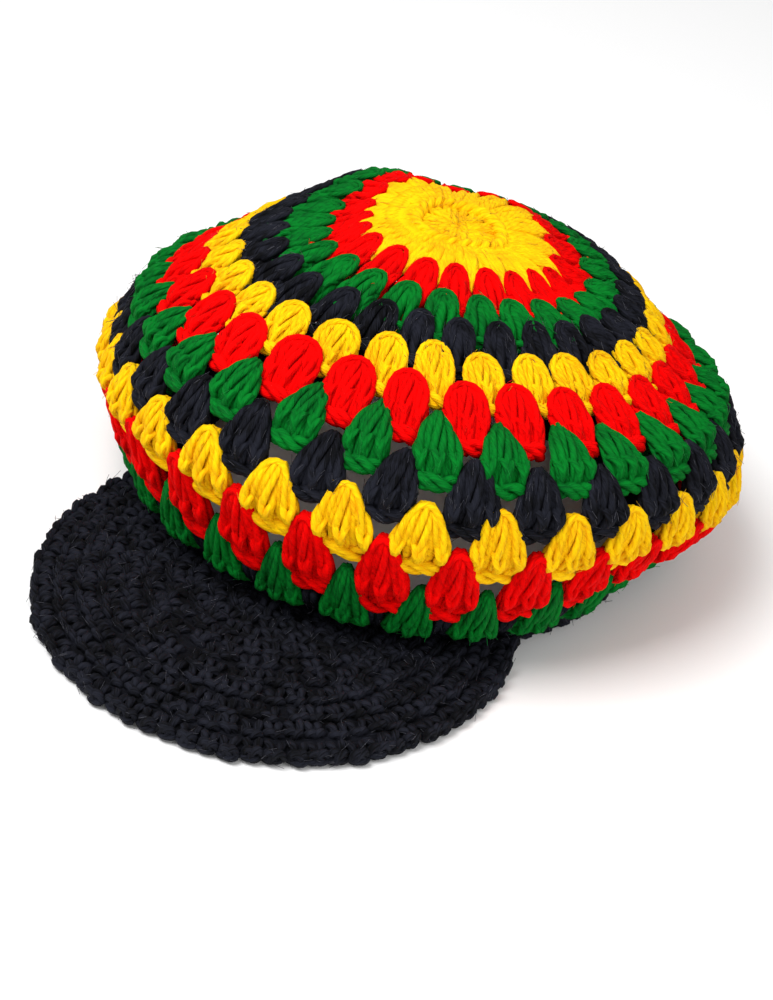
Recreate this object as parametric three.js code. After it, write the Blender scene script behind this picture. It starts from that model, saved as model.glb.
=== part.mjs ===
// A crocheted slouch cap. The soft crown is worked outwards from a round centre in rounds of shell stitches,
// each round one colour, and is gathered into a plain band with a half-oval peak sewn to its front.
// It stands on its band, +Z up, with the peak towards -Y and the origin under the middle of the whole cap.
// All sizes are in millimetres and all angles in degrees, counted from +X towards +Y.
import * as THREE from 'three';

// Sizes of the band, at the head opening
const bandRadius = 88;
const bandWall = 6;
const bandFace = 6.5;
const bandInside = 10;
const bandShells = 28;

// Sizes of the crown
const crownRadius = 121;
const crownTop = 124;
const crownWall = 6;
const shellPuff = 3;
const fullestAt = 0.6;
const lobeDepth = 5;

// Sizes of the peak
const peakReach = 89;
const peakHalfWidth = 85;
const peakAside = 4;
const peakWall = 5;
const peakArch = 6;
const peakFrontTurn = 62;

// Slack between pieces that meet
const roundSlack = 0.45;
const peakSlack = 0.35;

// How finely the pieces are drawn. A shell has four columns: hemShape is how far the hem hangs down at each
// column of the shell below it, from its tip on, and shellShape how far the shell itself stands out.
const columnsPerShell = 4;
const hemShape = [0, 0.75, 1, 0.75];
const shellShape = [1, 0.5, 0, 0.5];
const centreColumns = 24;
const bandColumns = 56;
const peakColumns = 20;
const peakRows = 6;

const yarn = {
  yellow: new THREE.MeshStandardMaterial({ color: 0xf4c400, roughness: 0.95, metalness: 0 }),
  red: new THREE.MeshStandardMaterial({ color: 0xd80a0a, roughness: 0.95, metalness: 0 }),
  green: new THREE.MeshStandardMaterial({ color: 0x0b6b2c, roughness: 0.95, metalness: 0 }),
  black: new THREE.MeshStandardMaterial({ color: 0x15151b, roughness: 0.95, metalness: 0 }),
};

// The rounds of shell stitches from the centre outwards. Tip and foot say how far down from the round's own
// level its hem starts and ends, in rounds: the next round's tips reach up to tip, the shells down to foot.
// Mesh is the height of the opening left under each shell of the round before, in rounds.
const rounds = [
  { name: 'round_01_red', colour: 'red', shells: 20, tip: 1.05, foot: 1.5, mesh: 0 },
  { name: 'round_02_green', colour: 'green', shells: 24, tip: 1.05, foot: 1.5, mesh: 0 },
  { name: 'round_03_black', colour: 'black', shells: 28, tip: 1.05, foot: 1.5, mesh: 0 },
  { name: 'round_04_yellow', colour: 'yellow', shells: 28, tip: 1.05, foot: 1.55, mesh: 0 },
  { name: 'round_05_red', colour: 'red', shells: 28, tip: 1.05, foot: 1.55, mesh: 0 },
  { name: 'round_06_green', colour: 'green', shells: 28, tip: 1.1, foot: 1.6, mesh: 0.32 },
  { name: 'round_07_black', colour: 'black', shells: 28, tip: 1.1, foot: 1.6, mesh: 0.27 },
  { name: 'round_08_yellow', colour: 'yellow', shells: 28, tip: 1.1, foot: 1.6, mesh: 0.27 },
  { name: 'round_09_red', colour: 'red', shells: 28, tip: 1.1, foot: 1.6, mesh: 0.27 },
  { name: 'round_10_green', colour: 'green', shells: 28, tip: 1.05, foot: 1.4, mesh: 0 },
];
const centre = { tip: 1, foot: 1.35 };

// The crown's outside at each level: level 0 is the centre, level n the tips of round n and 12 the band's
// face. Radius is a share of crownRadius plus a share of bandRadius, and up a share of crownTop. Sag lowers
// the back for each millimetre behind the middle, lean lifts the +X side, and oval draws the round out
// towards 45 and 225 degrees.
const levels = [
  { ofCrown: 0, ofBand: 0, up: 0.968, sag: 0.06, lean: 0, oval: 0 },
  { ofCrown: 0.248, ofBand: 0, up: 0.976, sag: 0.065, lean: 0, oval: 0.04 },
  { ofCrown: 0.373, ofBand: 0, up: 0.931, sag: 0.075, lean: 0, oval: 0.045 },
  { ofCrown: 0.483, ofBand: 0, up: 0.879, sag: 0.1, lean: 0.01, oval: 0.05 },
  { ofCrown: 0.59, ofBand: 0, up: 0.818, sag: 0.12, lean: 0.017, oval: 0.052 },
  { ofCrown: 0.682, ofBand: 0, up: 0.752, sag: 0.138, lean: 0.023, oval: 0.048 },
  { ofCrown: 0.781, ofBand: 0, up: 0.685, sag: 0.145, lean: 0.027, oval: 0.042 },
  { ofCrown: 0.893, ofBand: 0, up: 0.614, sag: 0.14, lean: 0.034, oval: 0.02 },
  { ofCrown: 0.964, ofBand: 0, up: 0.493, sag: 0.145, lean: 0.034, oval: 0.005 },
  { ofCrown: 0.985, ofBand: 0, up: 0.368, sag: 0.14, lean: 0.012, oval: 0.01 },
  { ofCrown: 0.6, ofBand: 0.46, up: 0.245, sag: 0.1, lean: 0, oval: 0 },
  { ofCrown: 0.45, ofBand: 0.57, up: 0.125, sag: 0.03, lean: 0, oval: 0 },
  { ofCrown: 0.1, ofBand: 0.89, up: 0.055, sag: 0, lean: 0, oval: 0 },
];

// Soft lobes and the dents between them. Out and up are shares of lobeDepth, wide is the half width in
// degrees and tall the half height in rounds.
const lobes = [
  { at: -84, level: 5.6, out: -1, up: -0.4, wide: 13, tall: 2.2 },
  { at: -106, level: 5.4, out: 0.6, up: 0.2, wide: 14, tall: 2 },
  { at: -60, level: 6.2, out: 0.4, up: 0, wide: 14, tall: 2 },
  { at: -15, level: 10.2, out: -0.9, up: 0.8, wide: 24, tall: 1.5 },
  { at: 12, level: 6.3, out: -0.6, up: 0, wide: 25, tall: 2 },
  { at: 70, level: 4, out: 0, up: 0.6, wide: 35, tall: 1.6 },
  { at: 155, level: 2.2, out: 0, up: 1.2, wide: 50, tall: 1.5 },
  { at: 172, level: 4.6, out: 0.3, up: 0.3, wide: 25, tall: 1.3 },
  { at: -168, level: 7.6, out: -0.5, up: 0, wide: 22, tall: 1 },
  { at: -172, level: 9.3, out: 1.4, up: -0.9, wide: 35, tall: 1.5 },
  { at: -152, level: 8.9, out: -1.3, up: 0, wide: 22, tall: 1.8 },
  { at: -174, level: 5, out: 0, up: -0.5, wide: 14, tall: 1.6 },
  { at: 44, level: 6, out: -0.8, up: 0, wide: 18, tall: 2.2 },
  { at: -4, level: 10.9, out: -1.1, up: 0.3, wide: 18, tall: 0.7 },
  { at: -165, level: 1.8, out: -0.9, up: -1.3, wide: 42, tall: 1.2 },
  { at: 18, level: 1.6, out: 0.1, up: -1.7, wide: 42, tall: 1.1 },
  { at: -68, level: 1.4, out: -0.2, up: -0.5, wide: 45, tall: 0.9 },
  { at: 118, level: 1.6, out: 0, up: -0.8, wide: 24, tall: 0.9 },
  { at: 154, level: 2.9, out: 0, up: 0.8, wide: 18, tall: 1.1 },
];

const radians = THREE.MathUtils.degToRad;

// A smooth value of one column of the levels table between its rows
function levelValue(column, level) {
  const row = Math.min(Math.max(Math.floor(level), 0), levels.length - 2);
  const value = (index) => levels[Math.min(Math.max(index, 0), levels.length - 1)][column];
  const before = row === 0 ? 2 * value(0) - value(1) : value(row - 1);
  const after = row === levels.length - 2 ? 2 * value(row + 1) - value(row) : value(row + 2);
  const t = level - row;
  const linear = (value(row + 1) - before) * 0.5;
  const square = before - 2.5 * value(row) + 2 * value(row + 1) - 0.5 * after;
  const cube = 0.5 * (after - before) + 1.5 * (value(row) - value(row + 1));
  return value(row) + t * (linear + t * (square + t * cube));
}

function lobeShift(angle, level) {
  const shift = { out: 0, up: 0 };
  for (const lobe of lobes) {
    const aside = (((angle - lobe.at) % 360) + 540) % 360 - 180;
    const across = aside / lobe.wide;
    const along = (level - lobe.level) / lobe.tall;
    const size = lobeDepth * Math.exp(-across * across - along * along);
    shift.out += lobe.out * size;
    shift.up += lobe.up * size;
  }
  return shift;
}

// A point of the crown's outside
function crownSkin(angle, level) {
  const turn = radians(angle);
  const round = levelValue('ofCrown', level) * crownRadius + levelValue('ofBand', level) * bandRadius;
  const lobe = lobeShift(angle, level);
  const radius = round * (1 + levelValue('oval', level) * Math.sin(2 * turn)) + lobe.out;
  const x = radius * Math.cos(turn);
  const y = radius * Math.sin(turn);
  const rise = levelValue('up', level) * crownTop + lobe.up;
  return new THREE.Vector3(x, y, rise - levelValue('sag', level) * y + levelValue('lean', level) * x);
}

// A point at a depth behind the crown's outside, along its normal
function crownPoint(angle, level, depth) {
  const nudge = 0.02;
  const point = crownSkin(angle, level);
  const around = crownSkin(angle + nudge, level).sub(crownSkin(angle - nudge, level));
  const down = crownSkin(angle, level + nudge).sub(crownSkin(angle, level - nudge));
  const outward = down.cross(around).normalize();
  return point.addScaledVector(outward, -depth);
}

// How many rounds a slack in millimetres is, at a place on the crown
function inRounds(slack, angle, level) {
  const nudge = 0.1;
  const run = crownSkin(angle, level + nudge).distanceTo(crownSkin(angle, level - nudge));
  return (slack * 2 * nudge) / run;
}

// Angles of the columns of a round: a shell tip every fourth column, and odd rounds half a shell on
function columnAngles(number, shells) {
  const count = shells * columnsPerShell;
  const start = number % 2 === 1 ? 180 / shells : 0;
  return Array.from({ length: count }, (_, i) => start + (360 * i) / count);
}

// The level of the hem between a round and the next, at a column of the next round
function hemLevel(number, row, column) {
  return number + row.tip + (row.foot - row.tip) * hemShape[column % columnsPerShell];
}

// The hem as two loops of points, at the outside and the inside of the wall
function hemLoops(number, row, shells, drop, mesh) {
  const angles = columnAngles(number + 1, shells);
  const level = angles.map((angle, i) => {
    const hem = hemLevel(number, row, i);
    const open = i % columnsPerShell === columnsPerShell / 2 ? mesh : 0;
    return hem + open + (drop ? inRounds(roundSlack, angle, hem) : 0);
  });
  const at = (depth) => (angle, i) => ({ angle, level: level[i], point: crownPoint(angle, level[i], depth) });
  const loop = (depth) => angles.map(at(depth));
  return { outside: loop(shellPuff / 2), inside: loop(crownWall) };
}

// A growing closed mesh: loops of points are sewn to each other by turning angle. Two walls that face each
// other across a seam are sewn with opposite settings of lowerFirst, so that their creases run alike.
class Skin {
  constructor() {
    this.points = [];
    this.faces = [];
  }

  add(points) {
    const first = this.points.length;
    this.points.push(...points.map((p) => p.point));
    return points.map((p, i) => ({ angle: p.angle, index: first + i }));
  }

  sew(upper, lower, lowerFirst = true) {
    let a = 0;
    let b = 0;
    const angleOf = (loop, i) => loop[i % loop.length].angle + 360 * Math.floor(i / loop.length);
    const indexOf = (loop, i) => loop[i % loop.length].index;
    while (a < upper.length || b < lower.length) {
      const upperNext = angleOf(upper, a + 1);
      const lowerNext = angleOf(lower, b + 1);
      const lowerIsDue = lowerFirst ? lowerNext <= upperNext : lowerNext < upperNext;
      const stepLower = b < lower.length && (a >= upper.length || lowerIsDue);
      if (stepLower) {
        this.faces.push([indexOf(upper, a), indexOf(lower, b), indexOf(lower, b + 1)]);
        b += 1;
      } else {
        this.faces.push([indexOf(upper, a), indexOf(lower, b), indexOf(upper, a + 1)]);
        a += 1;
      }
    }
  }

  geometry() {
    const made = new THREE.BufferGeometry();
    const coordinates = this.points.flatMap((p) => p.toArray());
    made.setAttribute('position', new THREE.Float32BufferAttribute(coordinates, 3));
    made.setIndex(this.faces.flat());
    made.computeVertexNormals();
    return made;
  }
}

function piece(name, colour, geometry) {
  const mesh = new THREE.Mesh(geometry, yarn[colour]);
  mesh.name = name;
  return mesh;
}

// The round centre: a shallow dome whose edge is drawn into points between the first round's shells
function centreDisc() {
  const skin = new Skin();
  const hem = hemLoops(0, centre, rounds[0].shells, false, 0);
  const ring = (depth) => Array.from({ length: centreColumns }, (_, i) => {
    const angle = (360 * i) / centreColumns;
    return { angle, point: crownPoint(angle, centre.tip / 2, depth) };
  });
  const pole = (depth) => [{ angle: 0, point: new THREE.Vector3(0, 0, crownTop - depth) }];
  const loops = [pole(0), ring(0), hem.outside, hem.inside, ring(crownWall), pole(crownWall)];
  const sewn = loops.map((loop) => skin.add(loop));
  for (let i = 0; i + 1 < sewn.length; i += 1) skin.sew(sewn[i], sewn[i + 1]);
  return withoutSlivers(skin);
}

// A pole is one point, so the faces that would join it to itself are left out
function withoutSlivers(skin) {
  skin.faces = skin.faces.filter(([a, b, c]) => a !== b && b !== c && a !== c);
  return skin.geometry();
}

// One round of shells: a ring with a wavy upper and lower hem, standing out at the middle of each shell
function shellRound(number) {
  const row = rounds[number - 1];
  const above = number === 1 ? centre : rounds[number - 2];
  const next = number === rounds.length ? bandShells : rounds[number].shells;
  const upper = hemLoops(number - 1, above, row.shells, true, row.mesh);
  const lower = hemLoops(number, row, next, false, 0);
  const everyColumn = next !== row.shells;
  const middle = upper.outside.flatMap(({ angle, level }, i) => {
    if (i % 2 === 1 && !everyColumn) return [];
    const share = shellShape[i % columnsPerShell];
    const hem = number + row.tip + (row.foot - row.tip) * share;
    const depth = shellPuff * (0.5 - share);
    return [{ angle, point: crownPoint(angle, level + (hem - level) * fullestAt, depth) }];
  });
  const skin = new Skin();
  const edges = [upper.outside, middle, lower.outside, lower.inside, upper.inside];
  const loops = edges.map((loop) => skin.add(loop));
  loops.forEach((loop, i) => skin.sew(loop, loops[(i + 1) % loops.length], i < loops.length - 1));
  return skin.geometry();
}

// The band: its scalloped top takes the last round, its foot is flat and its front takes the peak
function band() {
  const last = rounds.length;
  const top = hemLoops(last, rounds[last - 1], bandShells, true, 0);
  const circle = (radius, height) => Array.from({ length: bandColumns }, (_, i) => {
    const angle = top.outside[0].angle + (360 * i) / bandColumns;
    const turn = radians(angle);
    return { angle, point: new THREE.Vector3(radius * Math.cos(turn), radius * Math.sin(turn), height) };
  });
  const skin = new Skin();
  const loops = [
    top.outside,
    circle(bandRadius, bandFace),
    circle(bandRadius, 0),
    circle(bandRadius - bandWall, 0),
    circle(bandRadius - bandWall, bandInside),
    top.inside,
  ].map((loop) => skin.add(loop));
  loops.forEach((loop, i) => skin.sew(loop, loops[(i + 1) % loops.length], i < loops.length - 1));
  return skin.geometry();
}

// The peak's outline is an oval whose widest line touches the band's front. It is covered by rows that run
// from side to side: across goes from 0 at the -X side to 1, and along from 0 at the band to 1 at the front.
function peakPlan(across, along) {
  const seatRadius = bandRadius + peakSlack;
  const ovalMiddle = -bandRadius;
  const oval = (turn) => new THREE.Vector2(
    peakHalfWidth * Math.sin(turn) - peakAside,
    ovalMiddle - (peakReach + peakSlack) * Math.cos(turn),
  );
  const sideTurn = radians(peakFrontTurn);
  const corners = [ovalCorner(oval, seatRadius, -1), ovalCorner(oval, seatRadius, 1)];
  const seatTurns = corners.map((turn) => Math.atan2(oval(turn).x, -oval(turn).y));
  const seatAt = (share) => {
    const turn = seatTurns[0] + (seatTurns[1] - seatTurns[0]) * share;
    return new THREE.Vector2(seatRadius * Math.sin(turn), -seatRadius * Math.cos(turn));
  };
  const frontAt = (share) => oval(sideTurn * (2 * share - 1));
  const sideAt = (side, share) => oval(corners[side] + ((2 * side - 1) * sideTurn - corners[side]) * share);
  const lengthwise = seatAt(across).multiplyScalar(1 - along).addScaledVector(frontAt(across), along);
  const crosswise = sideAt(0, along).multiplyScalar(1 - across).addScaledVector(sideAt(1, along), across);
  const seatLine = seatAt(0).multiplyScalar(1 - across).addScaledVector(seatAt(1), across);
  const frontLine = frontAt(0).multiplyScalar(1 - across).addScaledVector(frontAt(1), across);
  const cornerwise = seatLine.multiplyScalar(1 - along).addScaledVector(frontLine, along);
  return lengthwise.add(crosswise).sub(cornerwise);
}

// Where the back of the oval meets the band's circle on one side, found by halving
function ovalCorner(oval, seatRadius, side) {
  let outside = (side * Math.PI) / 2;
  let inside = side * Math.PI;
  for (let i = 0; i < 40; i += 1) {
    const turn = (outside + inside) / 2;
    if (oval(turn).length() > seatRadius) outside = turn;
    else inside = turn;
  }
  return outside;
}

// The height of the peak's underside: flat on the floor at its rim and at the band, and arched between
function peakHeight(across, along) {
  const middle = 1 - (2 * across - 1) ** 2;
  return peakArch * Math.sin(Math.PI * along) * middle;
}

function peak() {
  const points = [];
  const faces = [];
  const index = (side, i, j) => (side * (peakRows + 1) + j) * (peakColumns + 1) + i;
  for (const side of [0, 1]) {
    for (let j = 0; j <= peakRows; j += 1) {
      for (let i = 0; i <= peakColumns; i += 1) {
        const plan = peakPlan(i / peakColumns, j / peakRows);
        const height = peakHeight(i / peakColumns, j / peakRows) + side * peakWall;
        points.push(new THREE.Vector3(plan.x, plan.y, height));
      }
    }
  }
  const quad = (a, b, c, d) => faces.push([a, b, c], [a, c, d]);
  for (let j = 0; j < peakRows; j += 1) {
    for (let i = 0; i < peakColumns; i += 1) {
      quad(index(1, i, j), index(1, i, j + 1), index(1, i + 1, j + 1), index(1, i + 1, j));
      quad(index(0, i, j), index(0, i + 1, j), index(0, i + 1, j + 1), index(0, i, j + 1));
    }
  }
  for (let i = 0; i < peakColumns; i += 1) {
    quad(index(0, i, 0), index(1, i, 0), index(1, i + 1, 0), index(0, i + 1, 0));
    quad(index(0, i, peakRows), index(0, i + 1, peakRows), index(1, i + 1, peakRows), index(1, i, peakRows));
  }
  for (let j = 0; j < peakRows; j += 1) {
    const end = peakColumns;
    quad(index(0, 0, j), index(0, 0, j + 1), index(1, 0, j + 1), index(1, 0, j));
    quad(index(0, end, j), index(1, end, j), index(1, end, j + 1), index(0, end, j + 1));
  }
  const skin = new Skin();
  skin.points = points;
  skin.faces = faces;
  return skin.geometry();
}

const cap = new THREE.Group();
cap.name = 'rasta_tam';

const crown = new THREE.Group();
crown.add(piece('centre_yellow', 'yellow', centreDisc()));
rounds.forEach((row, i) => crown.add(piece(row.name, row.colour, shellRound(i + 1))));

cap.add(crown);
cap.add(piece('band', 'black', band()));
cap.add(piece('peak', 'black', peak()));

// The origin is put under the middle of the whole cap, on the floor
const extent = new THREE.Box3().setFromObject(cap);
const middle = extent.getCenter(new THREE.Vector3());
cap.position.set(-middle.x, -middle.y, -extent.min.z);

export default cap;
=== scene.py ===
import math
import bpy
import numpy as np
from mathutils import Matrix, Vector


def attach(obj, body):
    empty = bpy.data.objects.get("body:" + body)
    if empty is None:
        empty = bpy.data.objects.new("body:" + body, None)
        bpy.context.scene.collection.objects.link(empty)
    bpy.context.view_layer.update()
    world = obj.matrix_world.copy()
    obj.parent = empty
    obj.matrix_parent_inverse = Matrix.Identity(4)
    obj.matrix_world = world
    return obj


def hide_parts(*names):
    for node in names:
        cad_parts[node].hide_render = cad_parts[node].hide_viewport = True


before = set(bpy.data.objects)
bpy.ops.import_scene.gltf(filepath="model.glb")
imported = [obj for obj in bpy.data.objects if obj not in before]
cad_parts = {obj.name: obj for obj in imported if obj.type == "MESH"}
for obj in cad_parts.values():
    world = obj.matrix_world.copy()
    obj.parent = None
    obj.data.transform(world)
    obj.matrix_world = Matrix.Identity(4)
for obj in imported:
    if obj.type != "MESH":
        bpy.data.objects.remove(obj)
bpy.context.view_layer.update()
print("frame loaded")

mm = 0.001
dice = np.random.default_rng(7)

# The crown's middle line stands over the middle of the band's foot
onFloor = 0.1 * mm
footPoints = np.array([v.co[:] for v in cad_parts["band"].data.vertices if v.co.z < onFloor])
middle = (footPoints.min(axis=0) + footPoints.max(axis=0)) / 2


# Camera: turned and rolled as the photo was taken

camera = {"azimuth": 22.1, "elevation": 33.0, "roll": 11.08, "away": 0.9, "lens": 90.3, "sensor": 36,
          "target": (10.5 * mm, -41.5 * mm, 28.1 * mm)}


def addCamera(settings):
    turn, tilt, roll = (math.radians(settings[k]) for k in ("azimuth", "elevation", "roll"))
    back = Vector((math.sin(turn) * math.cos(tilt), -math.cos(turn) * math.cos(tilt), math.sin(tilt)))
    right = Vector((math.cos(turn), math.sin(turn), 0))
    up = back.cross(right)
    rolledRight = math.cos(roll) * right + math.sin(roll) * up
    rolledUp = math.cos(roll) * up - math.sin(roll) * right
    facing = Matrix((rolledRight, rolledUp, back)).transposed().to_4x4()
    target = Vector(settings["target"]) + Vector((middle[0], middle[1], 0))
    bpy.ops.object.camera_add(location=target + back * settings["away"])
    photoCamera = bpy.context.object
    photoCamera.name = "photoCamera"
    photoCamera.data.lens = settings["lens"]
    photoCamera.data.sensor_width = settings["sensor"]
    photoCamera.matrix_world = Matrix.Translation(photoCamera.location) @ facing
    bpy.context.scene.camera = photoCamera


addCamera(camera)
print("camera placed")


# Crown: the soft skin that all the shells lie on

crown = {
    "radius": 121 * mm, "bandRadius": 88 * mm, "top": 124 * mm, "lobe": 5 * mm, "roundPitch": 16 * mm,
    # share of radius, share of bandRadius, share of top, sag, lean, oval
    "levels": [
        (0, 0, 0.968, 0.06, 0, 0), (0.248, 0, 0.976, 0.065, 0, 0.04), (0.373, 0, 0.931, 0.075, 0, 0.045),
        (0.483, 0, 0.879, 0.1, 0.01, 0.05), (0.59, 0, 0.818, 0.12, 0.017, 0.052),
        (0.682, 0, 0.752, 0.138, 0.023, 0.048), (0.781, 0, 0.685, 0.145, 0.027, 0.042),
        (0.893, 0, 0.614, 0.14, 0.034, 0.02), (0.964, 0, 0.493, 0.145, 0.034, 0.005),
        (0.985, 0, 0.368, 0.14, 0.012, 0.01), (0.6, 0.46, 0.245, 0.1, 0, 0),
        (0.45, 0.57, 0.125, 0.03, 0, 0), (0.1, 0.89, 0.055, 0, 0, 0)],
    # angle, level, out, up, half width in degrees, half height in rounds
    "lobes": [
        (-84, 5.6, -1, -0.4, 13, 2.2), (-106, 5.4, 0.6, 0.2, 14, 2), (-60, 6.2, 0.4, 0, 14, 2),
        (-15, 10.2, -0.9, 0.8, 24, 1.5), (12, 6.3, -0.6, 0, 25, 2), (70, 4, 0, 0.6, 35, 1.6),
        (155, 2.2, 0, 1.2, 50, 1.5), (172, 4.6, 0.3, 0.3, 25, 1.3), (-168, 7.6, -0.5, 0, 22, 1),
        (-172, 9.3, 1.4, -0.9, 35, 1.5), (-152, 8.9, -1.3, 0, 22, 1.8), (-174, 5, 0, -0.5, 14, 1.6),
        (44, 6, -0.8, 0, 18, 2.2), (-4, 10.9, -1.1, 0.3, 18, 0.7),
        (-165, 1.8, -0.9, -1.3, 42, 1.2), (18, 1.6, 0.1, -1.7, 42, 1.1), (-68, 1.4, -0.2, -0.5, 45, 0.9),
        (118, 1.6, 0, -0.8, 24, 0.9), (154, 2.9, 0, 0.8, 18, 1.1)],
    # how far to each side the skin's slope is felt, in degrees and in rounds
    "feelTurn": 0.05, "feelLevel": 0.02,
}


def levelValues(level):
    rows = np.array(crown["levels"], float)
    padded = np.vstack([2 * rows[0] - rows[1], rows, 2 * rows[-1] - rows[-2]])
    row = np.clip(np.floor(level).astype(int), 0, len(rows) - 2)
    t = (level - row)[..., None]
    # a smooth curve through the rows
    before, here, there, after = (padded[row + k] for k in range(4))
    linear = (there - before) / 2
    square = before - 2.5 * here + 2 * there - 0.5 * after
    cube = 0.5 * (after - before) + 1.5 * (here - there)
    return np.moveaxis(here + t * (linear + t * (square + t * cube)), -1, 0)


def crownSkin(angle, level):
    ofCrown, ofBand, up, sag, lean, oval = levelValues(level)
    turn = np.radians(angle)
    out, rise = 0, 0
    for at, lobeLevel, lobeOut, lobeUp, wide, tall in crown["lobes"]:
        aside = (angle - at + 180) % 360 - 180
        size = crown["lobe"] * np.exp(-(aside / wide) ** 2 - ((level - lobeLevel) / tall) ** 2)
        out, rise = out + lobeOut * size, rise + lobeUp * size
    radius = (ofCrown * crown["radius"] + ofBand * crown["bandRadius"]) * (1 + oval * np.sin(2 * turn)) + out
    x, y = radius * np.cos(turn), radius * np.sin(turn)
    return np.stack([x + middle[0], y + middle[1], up * crown["top"] + rise - sag * y + lean * x], -1)


def unit(vectors):
    return vectors / np.maximum(np.linalg.norm(vectors, axis=-1, keepdims=True), 1e-9)


def crownPoint(angle, level, out):
    angle, level, out = np.broadcast_arrays(np.asarray(angle, float), level, out)
    feelTurn, feelLevel = crown["feelTurn"], crown["feelLevel"]
    around = crownSkin(angle + feelTurn, level) - crownSkin(angle - feelTurn, level)
    down = crownSkin(angle, level + feelLevel) - crownSkin(angle, level - feelLevel)
    return crownSkin(angle, level) + unit(np.cross(down, around)) * out[..., None]


def crownRadius(level):
    ofCrown, ofBand, *_ = levelValues(np.asarray(level, float))
    return ofCrown * crown["radius"] + ofBand * crown["bandRadius"]


# Strands: every piece of yarn is a tube round a line of points, closed at both ends

tube = {"endLength": 0.6, "nearlyUpright": 0.9}


def strandArrays(paths, radius, sides):
    count, steps, _ = paths.shape
    radius = np.broadcast_to(radius, (count, steps))
    # yarn that meets the floor lies on it
    paths = np.concatenate([paths[..., :2], np.maximum(paths[..., 2], radius)[..., None]], -1)
    along = unit(np.gradient(paths, axis=1))
    side = np.empty_like(paths)
    start = np.where(np.abs(along[:, 0, 2:3]) < tube["nearlyUpright"], [[0.0, 0, 1]], [[1.0, 0, 0]])
    for i in range(steps):
        start = unit(start - (start * along[:, i]).sum(-1, keepdims=True) * along[:, i])
        side[:, i] = start
    other = np.cross(along, side)
    turn = np.arange(sides) * 2 * math.pi / sides
    spread = np.cos(turn)[:, None] * side[:, :, None] + np.sin(turn)[:, None] * other[:, :, None]
    rings = paths[:, :, None] + radius[:, :, None, None] * spread
    first = paths[:, 0] - along[:, 0] * radius[:, :1] * tube["endLength"]
    last = paths[:, -1] + along[:, -1] * radius[:, -1:] * tube["endLength"]
    points = np.concatenate([rings.reshape(count, -1, 3), first[:, None], last[:, None]], axis=1)

    j = np.arange(sides)
    k = (j + 1) % sides
    rows = (np.arange(steps - 1) * sides)[:, None]
    quads = np.stack([rows + j, rows + k, rows + k + sides, rows + j + sides], -1).reshape(-1, 4)
    top = (steps - 1) * sides
    starts = np.stack([np.full(sides, steps * sides), k, j], -1)
    ends = np.stack([np.full(sides, steps * sides + 1), top + j, top + k], -1)

    # the UV map runs round the strand once in u and along it in metres in v
    lengths = np.linalg.norm(np.diff(paths, axis=1), axis=-1).cumsum(1)
    run = np.concatenate([np.zeros((count, 1)), lengths], 1)
    u = np.stack([j, j + 1, j + 1, j], -1)[None].repeat(steps - 1, 0).reshape(-1) / sides
    step = np.arange(steps - 1)[:, None].repeat(sides, 1)
    v = run[:, np.stack([step, step, step + 1, step + 1], -1).reshape(-1)]
    quadUv = np.stack([np.broadcast_to(u, v.shape), v], -1)
    capU = np.broadcast_to(np.stack([j + 0.5, j + 1, j], -1).reshape(-1) / sides, (count, 3 * sides))
    startUv = np.stack([capU, np.zeros(capU.shape)], -1)
    endUv = np.stack([capU, np.broadcast_to(run[:, -1:], capU.shape)], -1)
    return points, quads, np.vstack([starts, ends]), quadUv, np.concatenate([startUv, endUv], 1)


# Loose fibres: short thin ends that lean off the yarn

fuzz = {
    "length": 3.6 * mm, "lengths": (0.5, 1.2), "radius": 0.09 * mm, "points": 3, "sides": 3,
    "lift": 0.16, "lifts": (0.3, 1.3), "curl": 0.12, "thickest": 1.9 * mm,
    # how far out in the yarn the roots are, and how much the fibres prefer the upper side
    "root": 0.9, "upwards": 0.03,
    # fibres for each shell of a colour, and for the other pieces
    "yellow": 16, "red": 6, "green": 12, "black": 46, "centre": 300, "band": 500, "peak": 1300,
}


def looseFibres(strands, count):
    yarns = [(paths, np.broadcast_to(radius, paths.shape[:2])) for paths, radius, sides in strands
             if np.max(radius) < fuzz["thickest"]]
    roots, aheads, asides = [], [], []
    for paths, radius in yarns:
        which = dice.integers(0, paths.shape[0], count // len(yarns) + 1)
        step = dice.integers(1, paths.shape[1] - 1, len(which))
        ahead = unit(paths[which, step + 1] - paths[which, step - 1])
        ahead = ahead * dice.choice([-1, 1], len(which))[:, None]
        aside = unit(np.cross(ahead, dice.normal(0, 1, ahead.shape)))
        outwards = paths[which, step] - np.array([middle[0], middle[1], 0])
        outwards[:, 2] += fuzz["upwards"]
        aside *= np.where((aside * outwards).sum(-1, keepdims=True) < 0, -1, 1)
        roots.append(paths[which, step] + aside * radius[which, step][:, None] * fuzz["root"])
        aheads.append(ahead)
        asides.append(aside)
    roots, aheads, asides = (np.concatenate(a)[:, None] for a in (roots, aheads, asides))
    w = np.linspace(0, 1, fuzz["points"])[:, None]
    size = fuzz["length"] * dice.uniform(*fuzz["lengths"], (len(roots), 1, 1))
    curl = unit(dice.normal(0, 1, roots.shape)) * fuzz["curl"]
    lift = fuzz["lift"] * dice.uniform(*fuzz["lifts"], (len(roots), 1, 1))
    paths = roots + size * (aheads * w + asides * lift * w + curl * w**2)
    return [(paths, fuzz["radius"], fuzz["sides"])]


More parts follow.
